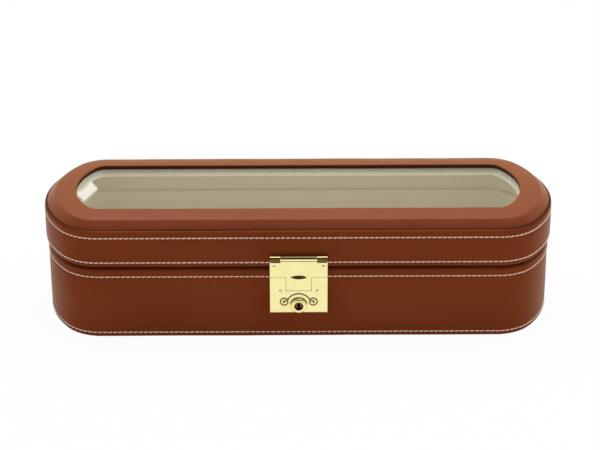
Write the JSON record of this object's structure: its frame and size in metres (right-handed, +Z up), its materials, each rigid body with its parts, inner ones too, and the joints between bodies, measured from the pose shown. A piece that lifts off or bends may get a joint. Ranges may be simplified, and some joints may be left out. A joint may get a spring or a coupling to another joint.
{
  "type": "watch box",
  "caption": "Long leather-covered watch box with rounded ends, hinged lid with a glass window in a raised frame, pale lining with lift-out cushions, and a brass hasp lock with a key plug.",
  "frame": {"origin": "middle of the underside, on the surface that the box stands on", "axes": "+X along the box to the right seen from the front, +Y to the back (hinges), -Y to the front (lock), +Z up"},
  "size_m": [0.342, 0.1213, 0.086],
  "materials": {
    "wall_leather": "smooth tan-brown leather with a satin sheen and two rows of cream stitching",
    "frame_leather": "smooth tan-brown leather pulled over the raised frame, a little glossier than the walls",
    "velvet": "pale beige short-pile velvet lining",
    "felt": "dark brown felt",
    "core_board": "plain fibreboard, hidden under leather and lining",
    "glass": "clear polished glass",
    "brass": "polished pale brass, pressed and bevelled"
  },
  "bodies": {
    "base": {"underside_felt": "felt", "base_board": "core_board", "base_carcass": "core_board", "base_leather": "wall_leather", "collar_front": "velvet", "collar_back": "velvet", "collar_end_left": "velvet", "collar_end_right": "velvet", "floor_pad": "velvet", "divider_1": "velvet", "divider_2": "velvet", "divider_3": "velvet", "divider_4": "velvet", "divider_5": "velvet", "divider_6": "velvet", "hinge_base_leaf_left": "brass", "hinge_base_leaf_right": "brass", "hinge_pin_left": "brass", "hinge_pin_right": "brass", "hinge_base_screws": "brass", "lock_plate": "brass", "lock_back_plate": "brass", "lock_rivets": "brass", "lock_bezel": "brass", "lock_scroll": "brass"},
    "lid": {"hinge_lid_leaf_left": "brass", "hinge_lid_leaf_right": "brass", "hinge_lid_screws": "brass", "lid_carcass": "core_board", "lid_leather": "wall_leather", "lid_lining": "velvet", "top_frame": "core_board", "frame_leather": "frame_leather", "glass_pane": "glass", "glass_retainer": "velvet", "hasp_leaf": "brass", "hasp_leaf_nails": "brass", "hasp_pin": "brass"},
    "hasp": {"hasp_plate": "brass", "hasp_rivets": "brass", "hasp_catch": "brass"},
    "key": {"key_plug": "brass", "lock_cam": "brass"},
    "cushion_1": {"watch_cushion_1": "velvet"},
    "cushion_2": {"watch_cushion_2": "velvet"},
    "cushion_3": {"watch_cushion_3": "velvet"},
    "cushion_4": {"watch_cushion_4": "velvet"},
    "cushion_5": {"watch_cushion_5": "velvet"}
  },
  "joints": [
    {"name": "lid_hinge", "type": "hinge", "parent": "base", "child": "lid", "pos_m": [0, 0.058, 0.052], "axis": [-1, 0, 0], "range_deg": [0, 100]},
    {"name": "hasp_hinge", "type": "hinge", "parent": "lid", "child": "hasp", "pos_m": [0, -0.0582, 0.0601], "axis": [-1, 0, 0], "range_deg": [0, 170]},
    {"name": "key_turn", "type": "hinge", "parent": "base", "child": "key", "pos_m": [0, -0.0583, 0.026], "axis": [0, -1, 0], "range_deg": [0, 90]},
    {"name": "cushion_1_lift", "type": "slide", "parent": "base", "child": "cushion_1", "axis": [0, 0, 1], "range_m": [0, 0.03]},
    {"name": "cushion_2_lift", "type": "slide", "parent": "base", "child": "cushion_2", "axis": [0, 0, 1], "range_m": [0, 0.03]},
    {"name": "cushion_3_lift", "type": "slide", "parent": "base", "child": "cushion_3", "axis": [0, 0, 1], "range_m": [0, 0.03]},
    {"name": "cushion_4_lift", "type": "slide", "parent": "base", "child": "cushion_4", "axis": [0, 0, 1], "range_m": [0, 0.03]},
    {"name": "cushion_5_lift", "type": "slide", "parent": "base", "child": "cushion_5", "axis": [0, 0, 1], "range_m": [0, 0.03]}
  ]
}
